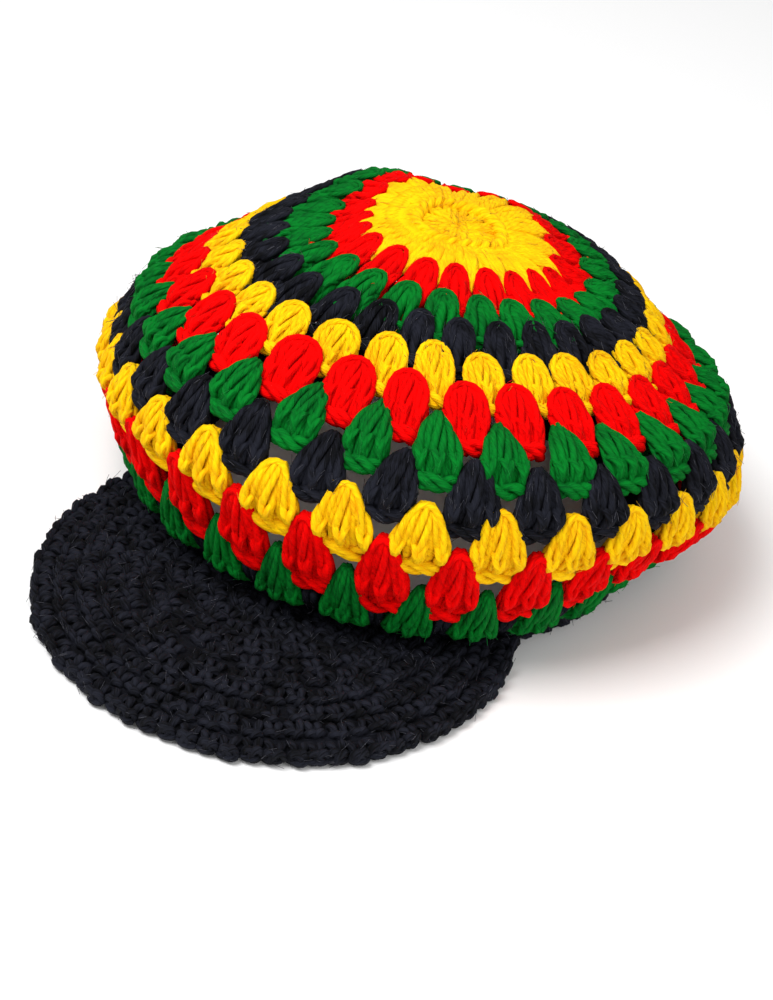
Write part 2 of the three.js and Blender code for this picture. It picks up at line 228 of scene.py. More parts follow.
def yarnPiece(name, strands, material, nodes, fibres):
    points, corners, sizes, uvs, loose, first = [], [], [], [], [], 0
    for paths, radius, sides in strands + looseFibres(strands, fibres):
        local, quads, caps, quadUv, capUv = strandArrays(paths, radius, sides)
        pointCount = local.shape[0] * local.shape[1]
        loose.append(np.full(pointCount, float(sides == fuzz["sides"])))
        offsets = first + np.arange(len(local)) * local.shape[1]
        points.append(local.reshape(-1, 3))
        corners += [(offsets[:, None, None] + faces).reshape(-1) for faces in (quads, caps)]
        sizes += [np.full(len(local) * len(quads), 4), np.full(len(local) * len(caps), 3)]
        uvs += [quadUv.reshape(-1, 2), capUv.reshape(-1, 2)]
        first += pointCount
    points, corners, sizes, uvs = (np.concatenate(a) for a in (points, corners, sizes, uvs))
    mesh = bpy.data.meshes.new(name)
    mesh.vertices.add(len(points))
    mesh.vertices.foreach_set("co", points.astype(np.float32).ravel())
    mesh.loops.add(len(corners))
    mesh.loops.foreach_set("vertex_index", corners.astype(np.int32))
    mesh.polygons.add(len(sizes))
    mesh.polygons.foreach_set("loop_start", (np.cumsum(sizes) - sizes).astype(np.int32))
    mesh.uv_layers.new(name="alongYarn").data.foreach_set("uv", uvs.astype(np.float32).ravel())
    mesh.attributes.new("loose", "FLOAT", "POINT").data.foreach_set("value", np.concatenate(loose))
    mesh.update(calc_edges=True)
    mesh.validate()
    mesh.shade_smooth()
    mesh.materials.append(material)
    piece = bpy.data.objects.new(name, mesh)
    bpy.context.scene.collection.objects.link(piece)
    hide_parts(*nodes)
    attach(piece, "root")
    print(name, len(points), "points", int((sizes - 2).sum()), "triangles")


# Yarn: two twisted plies of fine fibres, with painted shade between the plies, darker patches of random tone,
# and loose fibres painted lighter as a highlight

yarn = {
    # the first ply setting below is how dark the painted shade between the plies gets, the second the power
    # that shapes it
    "plies": 2, "pliesPerMetre": 260, "plyDepth": 0.14 * mm, "plyShade": 0.35, "plyShadeSharpness": 0.6,
    "fibreDepth": 0.7 * mm, "fibreTwist": 60, "fibresRound": 2.2, "fibresAlong": 220,
    # the noise of the fibres and of the patches: detail and the value that counts as plain colour
    "fibreDetail": 3, "fibrePlain": 0.4, "patchScale": 120, "patchDetail": 2, "patchPlain": 0.5,
    "roughness": 0.85, "sheenRoughness": 0.5,
    # colour, colour of the painted shade between the plies and of the darker streaks, colour of the loose
    # fibres painted lighter as a highlight, strength of the streaks of tone and sheen, sheen, shine
    "colours": {
        "yellow": ((0.96, 0.59, 0.0), (0.74, 0.28, 0.0), (1.0, 0.55, 0.04), 1.3, 0.0, 0.12),
        "red": ((0.87, 0.0, 0.0), (0.46, 0.0, 0.0), (1.0, 0.02, 0.01), 1.2, 0.0, 0.06),
        "green": ((0.0, 0.17, 0.016), (0.0, 0.042, 0.008), (0.02, 0.3, 0.06), 1.4, 0.0, 0.08),
        # on the black yarn the strong streaks and the pale loose fibres are painted highlights of its sheen
        "black": ((0.0105, 0.0115, 0.0185), (0.0006, 0.0007, 0.0015), (0.1, 0.1, 0.12), 3.2, 0.02, 0.12),
    },
}


def yarnLook():
    group = bpy.data.node_groups.new("pliedYarn", "ShaderNodeTree")
    face = group.interface
    for name, kind, way in (
            ("Colour", "NodeSocketColor", "INPUT"), ("Shade and streak colour", "NodeSocketColor", "INPUT"),
            ("Fibre highlight colour", "NodeSocketColor", "INPUT"), ("Streaks of tone and sheen", "NodeSocketFloat", "INPUT"),
            ("Colour", "NodeSocketColor", "OUTPUT"), ("Normal", "NodeSocketVector", "OUTPUT")):
        face.new_socket(name=name, in_out=way, socket_type=kind)
    nodes, links = group.nodes, group.links
    inside, outside = nodes.new("NodeGroupInput"), nodes.new("NodeGroupOutput")

    def maths(operation, a, b=None, c=None):
        node = nodes.new("ShaderNodeMath")
        node.operation = operation
        for socket, value in zip(node.inputs, (a, b, c)):
            if value is None:
                continue
            if isinstance(value, (int, float)):
                socket.default_value = value
            else:
                links.new(value, socket)
        return node.outputs[0]

    def noise(place, scale, detail):
        node = nodes.new("ShaderNodeTexNoise")
        node.inputs["Scale"].default_value = scale
        node.inputs["Detail"].default_value = detail
        links.new(place, node.inputs["Vector"])
        return node.outputs[0]

    def bump(height, depth, normal=None):
        node = nodes.new("ShaderNodeBump")
        node.inputs["Distance"].default_value = depth
        links.new(height, node.inputs["Height"])
        if normal:
            links.new(normal, node.inputs["Normal"])
        return node.outputs[0]

    def blend(share, one, other):
        node = nodes.new("ShaderNodeMix")
        node.data_type = "RGBA"
        node.clamp_factor = True
        # inputs 6 and 7 and output 2 are the colour sockets
        for value, socket in ((share, 0), (one, 6), (other, 7)):
            links.new(value, node.inputs[socket])
        return node.outputs[2]

    strand = nodes.new("ShaderNodeUVMap")
    strand.uv_map = "alongYarn"
    parts = nodes.new("ShaderNodeSeparateXYZ")
    links.new(strand.outputs[0], parts.inputs[0])
    around, along = parts.outputs[0], parts.outputs[1]
    where = nodes.new("ShaderNodeTexCoord")
    loose = nodes.new("ShaderNodeAttribute")
    loose.attribute_name = "loose"

    twist = maths("MULTIPLY_ADD", along, yarn["pliesPerMetre"], maths("MULTIPLY", around, yarn["plies"]))
    ply = maths("ABSOLUTE", maths("SINE", maths("MULTIPLY", twist, math.pi)))
    turned = maths("MULTIPLY", maths("MULTIPLY_ADD", along, yarn["fibreTwist"], around), 2 * math.pi)
    fibreSpace = nodes.new("ShaderNodeCombineXYZ")
    links.new(maths("MULTIPLY", maths("COSINE", turned), yarn["fibresRound"]), fibreSpace.inputs[0])
    links.new(maths("MULTIPLY", maths("SINE", turned), yarn["fibresRound"]), fibreSpace.inputs[1])
    links.new(maths("MULTIPLY", along, yarn["fibresAlong"]), fibreSpace.inputs[2])
    fibre = noise(fibreSpace.outputs[0], 1, yarn["fibreDetail"])
    patch = noise(where.outputs["Object"], yarn["patchScale"], yarn["patchDetail"])
    links.new(bump(fibre, yarn["fibreDepth"], bump(ply, yarn["plyDepth"])), outside.inputs["Normal"])

    # painted shade: the yarn darkens towards the darker colour in the grooves between the plies
    ridge = maths("POWER", ply, yarn["plyShadeSharpness"])
    plyShade = maths("MULTIPLY", maths("SUBTRACT", 1, ridge), yarn["plyShade"])
    # streaks from the fibre and patch noise: random tone, and on the black yarn also painted highlights of the
    # strands' sheen
    streak = maths("ADD", maths("SUBTRACT", fibre, yarn["fibrePlain"]),
                   maths("SUBTRACT", patch, yarn["patchPlain"]))
    speckle = maths("MULTIPLY", streak, inside.outputs["Streaks of tone and sheen"])
    plied = blend(maths("ADD", plyShade, speckle), inside.outputs["Colour"], inside.outputs["Shade and streak colour"])
    # loose fibres take their own colour, painted lighter than the yarn as a highlight
    withFibres = blend(loose.outputs["Fac"], plied, inside.outputs["Fibre highlight colour"])
    links.new(withFibres, outside.inputs["Colour"])
    return group


yarnGroup = yarnLook()


def yarnMaterial(name, colour, shadeAndStreak, fibre, toneAndSheenStreaks, sheen, shine):
    material = bpy.data.materials.new(name)
    material.use_nodes = True
    nodes, links = material.node_tree.nodes, material.node_tree.links
    shader = nodes["Principled BSDF"]
    look = nodes.new("ShaderNodeGroup")
    look.node_tree = yarnGroup
    look.inputs["Colour"].default_value = (*colour, 1)
    # the darker colour carries the painted shade between the plies and the darker streaks of tone
    look.inputs["Shade and streak colour"].default_value = (*shadeAndStreak, 1)
    # the loose fibres' colour, lighter than the yarn, is a painted highlight
    look.inputs["Fibre highlight colour"].default_value = (*fibre, 1)
    look.inputs["Streaks of tone and sheen"].default_value = toneAndSheenStreaks
    links.new(look.outputs["Colour"], shader.inputs["Base Color"])
    links.new(look.outputs["Normal"], shader.inputs["Normal"])
    shader.inputs["Roughness"].default_value = yarn["roughness"]
    shader.inputs["Specular IOR Level"].default_value = shine
    shader.inputs["Sheen Weight"].default_value = sheen
    shader.inputs["Sheen Roughness"].default_value = yarn["sheenRoughness"]
    shader.inputs["Sheen Tint"].default_value = (*colour, 1)
    return material


colours = {name: yarnMaterial(name + "Yarn", *values) for name, values in yarn["colours"].items()}
print("yarn colours mixed")


# Rounds of shells: each shell is a few fanned posts of twisted strands, closed by a braid along its foot

# name, colour, shells, first tip's angle, posts in a shell, shape, how full
rounds = [
    ("round_01_red", "red", 20, 9.0, 2, "blunt", 1.12),
    ("round_02_green", "green", 24, 7.5, 2, "blunt", 1.08),
    ("round_03_black", "black", 28, 4.0, 2, "blunt", 1.05),
    ("round_04_yellow", "yellow", 28, -3.0, 3, "round", 1.15),
    ("round_05_red", "red", 28, 5.0, 3, "round", 1.1),
    ("round_06_green", "green", 28, -0.3, 3, "plain", 1.0),
    ("round_07_black", "black", 28, 6.8, 3, "plain", 1.0),
    ("round_08_yellow", "yellow", 28, 0.0, 3, "dome", 1.1),
    ("round_09_red", "red", 28, 7.0, 3, "dome", 1.04),
    ("round_10_green", "green", 28, 1.6, 3, "fan", 1.0),
]
shell = {
    "foot": 1.6, "lastFoot": 1.4, "fullPitch": 27 * mm, "thinnest": 0.75,
    # how far tips, feet and widths stray, as shares of the pitch, of a round and of the width
    "strayTip": 0.04, "strayFoot": 0.03, "strayTipLevel": 0.04, "strayFootLevel": 0.03, "strayWidth": 0.03,
    # from the tip to the foot: half the shell's width as a share of the pitch, the posts' own half width, and
    # how far the posts' middles stand out from the skin
    "along": [0, 0.08, 0.2, 0.4, 0.55, 0.7, 0.85, 1.0],
    "blunt": [0.12, 0.19, 0.28, 0.38, 0.42, 0.43, 0.42, 0.4],
    "plain": [0.1, 0.16, 0.23, 0.31, 0.36, 0.37, 0.36, 0.34],
    "round": [0.14, 0.22, 0.3, 0.37, 0.39, 0.38, 0.36, 0.33],
    "dome": [0.1, 0.16, 0.23, 0.31, 0.36, 0.37, 0.36, 0.34],
    "fan": [0.1, 0.15, 0.22, 0.3, 0.36, 0.4, 0.43, 0.44],
    "twist": [0.9, 1.2, 1.6, 2.0, 2.1, 2.0, 1.6, 1.2],
    "out": [-1.7, -1.1, -0.6, -0.3, -0.3, -0.8, -2.2, -3.6],
    # how much deeper some shapes lie at the tip and at the foot, and some rounds all over
    "drops": {"blunt": (-0.8, 1.6), "round": (-0.7, 1.7)},
    "sinkRounds": [1, 4, 7, 9], "sink": [0, 1.0, 1.0, 0],
    # how far the first round's tips are drawn outwards all round and behind, at which angle and how widely
    "drawn": 0.14, "drawnBehind": 0.26, "behind": 112, "drawnWide": 55, "drawnRounds": [1, 3],
}
post = {
    "strand": 1.3 * mm, "strands": 4, "bluntStrands": 3, "fewerFatter": 0.8, "turns": 0.5,
    "points": 10, "sides": 5,
    # how much deeper the outer posts lie, and which way the middle post twists
    "outerSink": 0.9 * mm, "middleWay": 0.1,
    "fatAt": [0, 0.15, 0.5, 1], "fat": [0.8, 0.95, 1.05, 0.95],
}
# two loops that cross on each post
loop = {
    "strand": 1.3 * mm, "points": 6, "sides": 5, "bulge": 0.6,
    # where they start, how far they run and how far they stray, as shares of the shell's length
    "low": 0.55, "length": 0.3, "stray": 0.02,
    # in mm: how far from the post's middle they start, how far they cross over and how high they stand
    "aside": 1.9, "cross": 2.6, "stand": 3.2, "flatStand": 2.1, "flatShapes": ("blunt", "round"),
}
# arches over the tip, from the outer to the inner one
arch = {
    # how many, where the shell's width is taken and how deep the inner one lies, in mm
    "shapes": {"blunt": (2, 0.4, 0.5), "round": (2, 0.4, 1.6), "dome": (1, 0.28, 0.5)},
    "points": 9, "sides": 6,
    # shares of the shell's length
    "height": 0.44, "innerDrop": 0.07,
    # in mm: how far inside the shell's edge, how far out, how deep the ends lie and how thick
    "inside": 1.6, "innerInside": 2.4, "out": 1.3, "endSink": 1.9, "fat": 1.2, "fatEnds": 0.3,
    # an inner arch that lies deeper than this is thicker by this share
    "shallow": 0.5, "deepFatter": 0.6,
}
# plain cores that close the spaces in and between the posts
postCore = {
    "radius": 2.3 * mm, "points": 6, "sides": 4, "from": 0.08, "to": 0.95, "inside": 0.95, "depth": 0.9,
    "bluntMiddle": 1.3, "tip": 0.6, "roundTip": 1.15, "foot": 0.85, "fatAt": [0, 0.3, 1],
}
braid = {
    "strand": 1.65 * mm, "strands": 3, "turns": 0.42, "phases": 2, "points": 13, "sides": 6,
    # the shell's length, and the braid's place and the rise of its ends as shares of it
    "shellLength": 1.62 * crown["roundPitch"], "low": 0.96, "endRise": 0.03, "wideAt": 0.9,
    # in mm: how far it ends inside the shell's edge, how far it weaves, stands out and how deep its ends lie
    "inside": 1.4, "weave": 1.9, "out": 1.3, "lift": 1.3, "endSink": 2.4,
    "fatAt": [0, 0.8, 1], "fat": [1, 1, 0.7],
}


def drawnOut(angles, number):
    aside = (angles - shell["behind"] + 180) % 360 - 180
    drawn = shell["drawn"] + shell["drawnBehind"] * np.exp(-(aside / shell["drawnWide"]) ** 2)
    return drawn * np.interp(number, shell["drawnRounds"], [1, 0])


def shellStrands(number):
    shells, start, posts, shape, full = rounds[number - 1][2:]
    last = number == len(rounds)
    pitch = 360 / shells
    tips = start + pitch * np.arange(shells)
    feet = tips.copy()
    if not last and rounds[number][2] == shells:
        feet = tips + (rounds[number][3] - start) % pitch - pitch / 2
    tips = tips + dice.normal(0, shell["strayTip"] * pitch, shells)
    feet = feet + dice.normal(0, shell["strayFoot"] * pitch, shells)
    tipLevel = number + dice.normal(0, shell["strayTipLevel"], shells) + drawnOut(tips, number)
    footLevel = number + (shell["lastFoot"] if last else shell["foot"])
    footLevel = footLevel + dice.normal(0, shell["strayFootLevel"], shells)
    pitchWidth = 2 * math.pi * crownRadius(number + 1.0) / shells
    thin = float(np.clip((pitchWidth / shell["fullPitch"]) ** 0.5, shell["thinnest"], 1))
    room = pitchWidth * full
    size = 1 + dice.normal(0, shell["strayWidth"], shells)

    def curve(key, v):
        values = np.array(shell[key])
        if key == "out":
            values = values - np.interp(number, shell["sinkRounds"], shell["sink"])
            values = values - np.linspace(*shell["drops"].get(shape, (0, 0)), len(values))
        return np.interp(v, shell["along"], values)

    def place(x, v, out):
        # x runs across the shell in metres, v from its tip to its foot and out off the crown's skin
        level = tipLevel[:, None] + (footLevel - tipLevel)[:, None] * v
        angle = tips[:, None] + (feet - tips)[:, None] * v
        return crownPoint(angle + np.degrees(x * size[:, None] / crownRadius(level)), level, out)

    def postAt(share, v):
        halfPost = thin * (curve("twist", v) * mm + post["strand"])
        return share * np.maximum(curve(shape, v) * room - halfPost, 0)

    strands = []
    count = post["bluntStrands"] if shape == "blunt" else post["strands"]
    fewer = (post["strands"] / count) ** post["fewerFatter"]
    stand = loop["flatStand"] if shape in loop["flatShapes"] else loop["stand"]
    v = np.linspace(0, 1, post["points"])
    w = np.linspace(0, 1, loop["points"])
    for share in np.linspace(-1, 1, posts):
        phase = dice.uniform(0, 2 * math.pi, shells)[:, None]
        sunk = abs(share) * post["outerSink"]
        turns = np.sign(share + post["middleWay"]) * post["turns"]
        for strand in range(count):
            turn = phase + 2 * math.pi * (strand / count + turns * v)
            x = postAt(share, v) + thin * curve("twist", v) * mm * np.cos(turn)
            out = curve("out", v) * mm - sunk + thin * curve("twist", v) * mm * np.sin(turn)
            fat = post["strand"] * thin * fewer * np.interp(v, post["fatAt"], post["fat"])
            strands.append((place(x, v, out), fat, post["sides"]))
        for lean in (-1, 1):
            low = loop["low"] + loop["length"] * w + dice.normal(0, loop["stray"], shells)[:, None]
            x = postAt(share, low) + lean * (loop["aside"] - loop["cross"] * w) * mm * thin
            out = (curve("out", low) + thin * stand * np.sin(math.pi * w) ** loop["bulge"]) * mm - sunk
            strands.append((place(x, low, out), loop["strand"] * thin, loop["sides"]))

    arches, wideAt, under = arch["shapes"].get(shape, (0, 0, 0))
    w = np.linspace(0, 1, arch["points"])
    across = np.cos(math.pi * w)
    for inner in range(arches):
        low = arch["innerDrop"] * inner + arch["height"] * (1 - np.sin(math.pi * w))
        reach = curve(shape, wideAt) * room - (arch["inside"] + arch["innerInside"] * inner) * thin * mm
        out = (curve("out", low) + arch["out"] - under * inner - arch["endSink"] * across**4) * mm
        deeper = (under - arch["shallow"]) * arch["deepFatter"] * inner
        fat = (arch["fat"] + arch["fatEnds"] * across**2 + deeper) * mm * thin
        strands.append((place(-reach * across, low, out), fat, arch["sides"]))

    w = np.linspace(postCore["from"], postCore["to"], postCore["points"])
    for share in np.linspace(-1, 1, 2 * posts - 1):
        plump = postCore["bluntMiddle"] if shape == "blunt" and share == 0 else 1
        tip = postCore["roundTip"] if shape == "round" else postCore["tip"] * plump
        fat = postCore["radius"] * thin * plump * np.interp(w, postCore["fatAt"], [tip, 1, postCore["foot"]])
        out = (curve("out", w) - postCore["depth"]) * mm
        strands.append((place(postAt(share * postCore["inside"], w), w, out), fat, postCore["sides"]))

    w = np.linspace(-1, 1, braid["points"])
    wide = curve(shape, braid["wideAt"]) * room - braid["inside"] * mm
    for strand in range(braid["strands"]):
        turn = 2 * math.pi * (strand / braid["strands"] + braid["turns"] * w)
        turn = turn + dice.uniform(0, braid["phases"], shells)[:, None]
        weave = braid["weave"] * mm * thin * np.sin(turn) / braid["shellLength"]
        low = braid["low"] - braid["endRise"] * w**4 + weave
        out = (curve("out", low) + braid["out"] + braid["lift"] * np.cos(turn) - braid["endSink"] * w**4) * mm
        fat = braid["strand"] * thin * np.interp(np.abs(w), braid["fatAt"], braid["fat"])
        strands.append((place(wide * w, low, out), fat, braid["sides"]))
    return strands


for number, (name, colour, shells, *_) in enumerate(rounds, 1):
    strands = shellStrands(number)
    yarnPiece(name.replace("round_", "shells"), strands, colours[colour], [name],
              fuzz[colour] * shells)
print("rounds of shells made")


# Centre: a small ring, a round of plain posts, a chained ring and a round drawn into spikes

centre = {
    "strand": 1.35 * mm, "strands": 4, "turns": 0.6, "phases": 6, "stray": 1, "points": 9, "sides": 5,
    # how many, first angle, first and last level, the posts' sides, how far apart these stand at both ends,
    # how deep the end lies, how much shorter the cores between are, and whether the ends are drawn outwards
    "posts": [(12, 15, (0.09, 0.5), (0,), (0, 0), -1.4, 0, 0),
              (20, 0.0, (0.46, 1.6), (-1, 1), (2.1, 0.2), -2.4, 0.35, 1)],
    # along a post, in mm: how deep it lies, how far its sides stand apart, how wide it fans, how thick it is
    "restAt": [0, 0.4, 0.7], "rest": [-1.2, -1.4, -1.5],
    "apartAt": [0, 0.5, 0.7, 1], "swell": 1.15, "neck": 1.3,
    "fanAt": [0, 0.4, 0.6, 0.75, 1], "fan": [0.6, 1.0, 0.9, 0.5, 0.2],
    "fatAt": [0.55, 0.8, 1], "fat": [1, 0.8, 0.4],
    "core": 2.2 * mm, "coreFatAt": [0.6, 1], "coreFat": [1, 0.35], "coreDepth": 0.4 * mm,
    "betweenDepth": 0.5 * mm, "betweenTaper": 0.3,
    # rings of two strands: level, turns, half width in mm, how far out in mm
    "rings": [(0.08, 3, 0.7, -1.0), (0.5, 12, 1.2, -0.6)],
    "ringStrand": 1.1, "ringFlat": 0.5, "ringPoints": 12, "ringSides": 6,
}


def centreStrands():
    strands = []

    def lay(angles, x, level, out, radius):
        turned = angles[:, None] + np.degrees(x / crownRadius(level))
        level = np.broadcast_to(level, turned.shape)
        strands.append((crownPoint(turned, level, out), radius, centre["sides"]))

    v = np.linspace(0, 1, centre["points"])
    fan = np.interp(v, centre["fanAt"], centre["fan"]) * mm
    fat = centre["strand"] * np.interp(v, centre["fatAt"], centre["fat"])
    core = centre["core"] * np.interp(v, centre["coreFatAt"], centre["coreFat"])
    for count, first, levels, sides, apart, end, short, drawn in centre["posts"]:
        angles = first + 360 / count * np.arange(count) + dice.normal(0, centre["stray"], count)
        reached = levels[1] + drawn * drawnOut(angles, 1)[:, None]
        level = levels[0] + (reached - levels[0]) * v
        rest = np.interp(v, centre["restAt"] + [1], centre["rest"] + [end]) * mm
        spread = [apart[0], apart[0] * centre["swell"], centre["neck"], apart[1]]
        for side in sides:
            phase = dice.uniform(0, centre["phases"], count)[:, None]
            reach = side * np.interp(v, centre["apartAt"], spread) * mm
            for strand in range(centre["strands"]):
                turn = phase + 2 * math.pi * (strand / centre["strands"] + centre["turns"] * v)
                lay(angles, reach + fan * np.cos(turn), level, rest + fan * np.sin(turn), fat)
            lay(angles, reach, level, rest - centre["coreDepth"], core)
        between = levels[0] + (reached - short - levels[0]) * v
        taper = centre["core"] * (1 - centre["betweenTaper"] * v)
        lay(angles + 180 / count, 0, between, rest - centre["betweenDepth"], taper)
        lay(angles, 0, level, rest - centre["coreDepth"], core)
    for level, turns, amount, out in centre["rings"]:
        run = np.linspace(0, 360, centre["ringPoints"] * turns + 1)[None]
        for strand in range(2):
            turn = math.pi * strand + np.radians(run) * turns
            lift = (out + amount * np.sin(turn)) * mm
            aside = level + amount * mm * np.cos(turn) / crown["roundPitch"] * centre["ringFlat"]
            radius = centre["strand"] * centre["ringStrand"]
            strands.append((crownPoint(run, aside, lift), radius, centre["ringSides"]))
    return strands


yarnPiece("centreRounds", centreStrands(), colours["yellow"], ["centre_yellow"], fuzz["centre"])
print("centre made")


# Plain stitches: two leaning legs and a bar over them, laid on any surface

stitch = {
    "pitch": 6.9 * mm, "strand": 1.5 * mm, "points": 6,
    # from, to, how high its middle stands, how far its middle bows across, all in mm for a stitch of full size
    "lines": [((-2.7, -3.2), (-0.9, 2.4), 1.9, 0), ((2.7, -3.2), (0.9, 2.4), 1.9, 0),
              ((-3.2, 2.0), (0.9, 3.2), 1.8, 0.5), ((-0.9, 3.4), (3.2, 2.2), 1.8, 0.5)],
    # in mm: how far the ends stray, how much of that the height takes and how deep the ends lie
    "stray": 0.4, "strayHeight": 0.7, "endDepth": 1.4, "bulge": 0.7, "thinEnd": 0.75,
}


def plainStitches(spots, along, across, out, scale, sides):
    # One stitch for each spot: along runs with the row, across towards the next row and out off the surface
    strands = []
    w = np.linspace(0, 1, stitch["points"])
    arc = np.sin(math.pi * w)
    for (x0, y0), (x1, y1), height, bow in stitch["lines"]:
        wobble = dice.normal(0, stitch["stray"], (len(spots), 5))[..., None]
        x = (x0 + wobble[:, 0]) + (x1 + wobble[:, 1] - x0 - wobble[:, 0]) * w
        y = (y0 + wobble[:, 2]) + (y1 + wobble[:, 3] - y0 - wobble[:, 2]) * w + bow * arc
        top = height + stitch["endDepth"] + wobble[:, 4] * stitch["strayHeight"]
        z = top * arc ** stitch["bulge"] - stitch["endDepth"]
        path = (spots[:, None] + along[:, None] * x[..., None] * mm * scale
                + across[:, None] * y[..., None] * mm * scale + out[:, None] * z[..., None] * mm)
        fat = stitch["strand"] * scale * (stitch["thinEnd"] + (1 - stitch["thinEnd"]) * arc)
        strands.append((path, fat, sides))
    return strands


def finishPiece(piece, nodes):
    bpy.ops.object.select_all(action="DESELECT")
    piece.select_set(True)
    bpy.context.view_layer.objects.active = piece
    bpy.ops.object.mode_set(mode="EDIT")
    bpy.ops.mesh.select_all(action="SELECT")
    bpy.ops.mesh.normals_make_consistent(inside=False)
    bpy.ops.object.mode_set(mode="OBJECT")
    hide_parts(*nodes)
    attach(piece, "root")


# Band: a ring under the crown covered in plain stitches, with black posts between the last shells

band = {
    "stitches": 64, "foot": 88 * mm, "face": 6.5 * mm, "wall": 6 * mm, "inside": 10 * mm, "cover": 2.4 * mm,
    # the level under the last round where the band starts, and how deep its outside and inside lie there
    "top": 11.1, "outsideDepth": 1.5 * mm, "insideDepth": 6 * mm,
    # rows of stitches: the loops of the section they lie between, their shift in stitches, sides of a strand
    "rows": [(0, 1, 0, 6), (1, 2, 0.5, 6), (3, 4, 0, 5), (4, 5, 0.5, 5)],
    "fullRow": 7.5 * mm, "smallest": 0.75, "largest": 1.3, "feel": 0.5,
    # posts between the last shells: first and last level, distance from the middle in mm, depth and thickness
    "postLevels": (10.75, 11.6), "postPoints": 7, "postAside": 1.5, "postDepth": 2.2 * mm,
    "post": 1.5 * mm, "postSides": 6,
    "corePoints": 112, "coreInset": 0.16,
}


def bandSection(angles):
    # loops of points round the band: its outside from the last round to the floor, then its inside back up
    turn = np.radians(angles)
    flat = np.stack([np.cos(turn), np.sin(turn), np.zeros_like(turn)], -1)

    def circle(radius, height):
        return flat * radius + np.array([middle[0], middle[1], height])

    inner = band["foot"] - band["wall"]
    return np.stack([
        crownPoint(angles, band["top"], -band["outsideDepth"]), circle(band["foot"], band["face"]),
        circle(band["foot"], 0), circle(inner, 0), circle(inner, band["inside"]),
        crownPoint(angles, band["top"], -band["insideDepth"])])


def bandStrands():
    strands = []
    pitch = 360 / band["stitches"]
    angles = np.arange(band["stitches"]) * 360 / band["stitches"]
    for low, high, shift, sides in band["rows"]:
        loops = bandSection(angles + shift * pitch)
        ahead = bandSection(angles + shift * pitch + band["feel"])
        along = unit(ahead[low] - loops[low])
        across = loops[high] - loops[low]
        out = -unit(np.cross(along, across))
        height = np.linalg.norm(across, axis=-1).mean()
        scale = float(np.clip(height / band["fullRow"], band["smallest"], band["largest"]))
        spots = (loops[low] + loops[high]) / 2 - out * band["cover"]
        strands += plainStitches(spots, along, unit(across), out, scale, sides)
    shells, firstTip = rounds[-1][2:4]
    gaps = firstTip + 360 / shells * (np.arange(shells) + 0.5)
    level = np.linspace(*band["postLevels"], band["postPoints"])
    for aside in (-band["postAside"], band["postAside"]):
        turned = gaps[:, None] + np.degrees(aside * mm / crownRadius(level))
        strands.append((crownPoint(turned, level, -band["postDepth"]), band["post"], band["postSides"]))
    return strands


yarnPiece("bandStitches", bandStrands(), colours["black"], ["band"], fuzz["band"])


def ringCore(name, loops, material):
    # a closed ring through loops of points, used as the dark body under the stitches
    rows, count, _ = loops.shape
    i, j = np.meshgrid(np.arange(rows), np.arange(count), indexing="ij")
    nextRow, nextPoint = (i + 1) % rows, (j + 1) % count
    corners = [i * count + j, i * count + nextPoint, nextRow * count + nextPoint, nextRow * count + j]
    faces = np.stack(corners, -1).reshape(-1, 4)
    mesh = bpy.data.meshes.new(name)
    mesh.from_pydata(loops.reshape(-1, 3).tolist(), [], faces.tolist())
    mesh.uv_layers.new(name="alongYarn")
    mesh.materials.append(material)
    core = bpy.data.objects.new(name, mesh)
    bpy.context.scene.collection.objects.link(core)
    return core


section = bandSection(np.arange(band["corePoints"]) * 360 / band["corePoints"])
heart = section.mean(axis=0, keepdims=True)
bandCore = ringCore("bandCore", section + (heart - section) * band["coreInset"], colours["black"])
finishPiece(bandCore, ["band"])
print("band made")


# Peak: rows of plain stitches that follow its rim, on a thin arched body

peak = {
    "reach": 89 * mm, "halfWidth": 85 * mm, "aside": -4 * mm, "arch": 6 * mm,
    "rows": 11, "rowPitch": 7.6 * mm, "sideEdge": 4.6 * mm, "frontEdge": 3.2 * mm,
    "sweep": 150, "sweepPoints": 2000,
    # the row along the band: first and last angle, the step, and how far it lies out from the band
    "seam": (-58, 54, 5.0), "seamOut": 3.5 * mm,
    # how far the stitches stray in mm, from the rim's to the last, and at most
    "stray": (0.25, 1.1), "strayMost": 0.8,
    # the upper and the lower layer: height, which way it faces, sides of a strand
    "layers": [(3.3 * mm, 1.0, 6), (1.6 * mm, 0.0, 5)],
    # the body: points across and along, gap to the band, its angles at the band and round the rim, distance
    # from the rim, height of its middle and thickness
    "coreAcross": 48, "coreAlong": 24, "coreSeat": 0.6 * mm, "coreCorner": 57, "coreSweep": 119,
    "coreInset": 2 * mm, "coreHeight": 2.5 * mm, "coreThickness": 2.6 * mm,
}


def peakHeight(x, y):
    fromBand = np.clip(np.hypot(x, y) - band["foot"], 0, None)
    q = np.sqrt(((x - peak["aside"]) / peak["halfWidth"]) ** 2 + ((y + band["foot"]) / peak["reach"]) ** 2)
    toRim = np.clip(1 - q, 0, 1) * peak["reach"]
    share = fromBand / np.maximum(fromBand + toRim, 1e-6)
    middleness = np.clip(1 - ((x - peak["aside"]) / peak["halfWidth"]) ** 2, 0, 1)
    return peak["arch"] * np.sin(math.pi * np.clip(share, 0, 1)) * middleness


